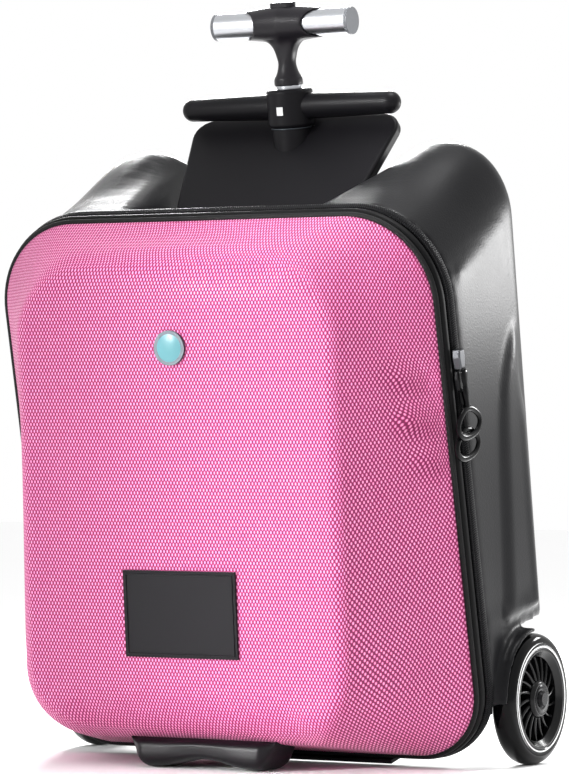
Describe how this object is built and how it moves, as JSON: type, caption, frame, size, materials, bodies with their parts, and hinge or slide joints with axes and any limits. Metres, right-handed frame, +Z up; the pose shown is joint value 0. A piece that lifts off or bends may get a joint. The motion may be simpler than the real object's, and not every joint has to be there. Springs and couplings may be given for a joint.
{
  "type": "ride on suitcase",
  "caption": "Child's ride-on suitcase: hard rear shell with wings and seat plate, zipped soft front cover, scooter wheels, front foot and telescopic T handle.",
  "frame": {"origin": "middle of the standing object's box, on the floor", "axes": "+X to the case's right seen from its front face's rider side, +Y to the rear, where the pole is, +Z up; the front cover faces -Y"},
  "size_m": [0.4114, 0.269, 0.5871],
  "materials": {
    "shell_black": "satin moulded plastic with a fine grain",
    "seat_black": "satin moulded plastic",
    "head_black": "satin moulded plastic",
    "button_white": "white moulded plastic",
    "cap_grey": "satin moulded plastic",
    "tube_aluminium": "satin anodised tube",
    "steel": "turned steel",
    "bolt_black": "black finish",
    "tyre": "smooth glossy polyurethane",
    "hub_black": "gloss moulded plastic",
    "cover_pink": "moulded foam faced with raised oval-dot woven fabric",
    "tape_black": "woven tape and piping",
    "foot_black": "satin rubber",
    "badge_silver": "bright metal rim",
    "badge_blue": "bare light-blue disc",
    "label_grey": "bare rubber label plate",
    "slider_silver": "bright cast metal",
    "pull_black": "gloss moulded plastic"
  },
  "bodies": {
    "case": {"back_shell": "shell_black", "seat_plate": "seat_black", "crossbar": "seat_black", "lower_collar": "seat_black", "pole_tube": "tube_aluminium", "guide_bush": "seat_black", "pole_socket": "shell_black", "axle_rod": "steel", "axle_saddle_left": "shell_black", "axle_saddle_right": "shell_black", "axle_spacers": "steel", "axle_bolts": "bolt_black", "rear_zip_band": "tape_black", "hinge_tape_rear": "tape_black"},
    "handle": {"inner_tube": "tube_aluminium", "t_head": "head_black", "grip_tube_left": "tube_aluminium", "grip_tube_right": "tube_aluminium", "grip_end_caps": "cap_grey", "slide_shoe": "seat_black"},
    "release": {"release_button": "head_black", "release_rod": "steel"},
    "latch": {"latch_pin": "steel"},
    "lock": {"lock_button": "button_white"},
    "wheel_left": {"wheel_hub_left": "hub_black", "tyre_left": "tyre", "bearings_left": "steel", "bearing_spacer_left": "steel"},
    "wheel_right": {"wheel_hub_right": "hub_black", "tyre_right": "tyre", "bearings_right": "steel", "bearing_spacer_right": "steel"},
    "cover": {"front_shell": "cover_pink", "front_zip_binding": "tape_black", "hinge_tape_front": "tape_black", "front_foot": "foot_black", "badge_rim": "badge_silver", "badge_disc": "badge_blue", "label_plate": "label_grey"},
    "slider_upper": {"zip_slider_upper": "slider_silver"},
    "slider_lower": {"zip_slider_lower": "slider_silver"},
    "pull_upper": {"zip_pull_upper": "pull_black"},
    "pull_lower": {"zip_pull_lower": "pull_black"}
  },
  "joints": [
    {"name": "handle_slide", "type": "slide", "parent": "case", "child": "handle", "axis": [0, -0.1564, 0.9877], "range_m": [0, 0.32]},
    {"name": "release_press", "type": "slide", "parent": "handle", "child": "release", "axis": [0, 0.1564, -0.9877], "range_m": [0, 0.003], "stiffness_N_per_m": 400, "springref_m": -0.004},
    {"name": "latch_draw", "type": "slide", "parent": "handle", "child": "latch", "axis": [0, 0.9877, 0.1564], "range_m": [0, 0.003]},
    {"name": "lock_press", "type": "slide", "parent": "case", "child": "lock", "axis": [0, 0.9877, 0.1564], "range_m": [0, 0.002], "stiffness_N_per_m": 400, "springref_m": -0.003},
    {"name": "wheel_left_spin", "type": "hinge", "parent": "case", "child": "wheel_left", "pos_m": [-0.193, 0.07828, 0.05], "axis": [1, 0, 0], "continuous": true},
    {"name": "wheel_right_spin", "type": "hinge", "parent": "case", "child": "wheel_right", "pos_m": [0.193, 0.07828, 0.05], "axis": [1, 0, 0], "continuous": true},
    {"name": "cover_open", "type": "hinge", "parent": "case", "child": "cover", "pos_m": [0, 0.021, 0.0044], "axis": [1, 0, 0], "range_deg": [0, 95]},
    {"name": "slider_upper_slide", "type": "slide", "parent": "case", "child": "slider_upper", "axis": [0, -0.2164, 0.9763], "range_m": [0, 0.035]},
    {"name": "slider_lower_slide", "type": "slide", "parent": "case", "child": "slider_lower", "axis": [0, -0.2164, 0.9763], "range_m": [-0.1, 0]},
    {"name": "pull_upper_swing", "type": "hinge", "parent": "slider_upper", "child": "pull_upper", "pos_m": [0.19955, -0.0442, 0.29851], "axis": [0, -0.9763, -0.2164], "range_deg": [0, 95]},
    {"name": "pull_lower_swing", "type": "hinge", "parent": "slider_lower", "child": "pull_lower", "pos_m": [0.19675, -0.04074, 0.28289], "axis": [0, -0.9763, -0.2164], "range_deg": [0, 95]}
  ],
  "couplings": [
    {"joint": "latch_draw", "follows": "release_press", "ratio": 1},
    {"joint": "pull_upper_swing", "follows": "pull_lower_swing", "ratio": 1}
  ]
}
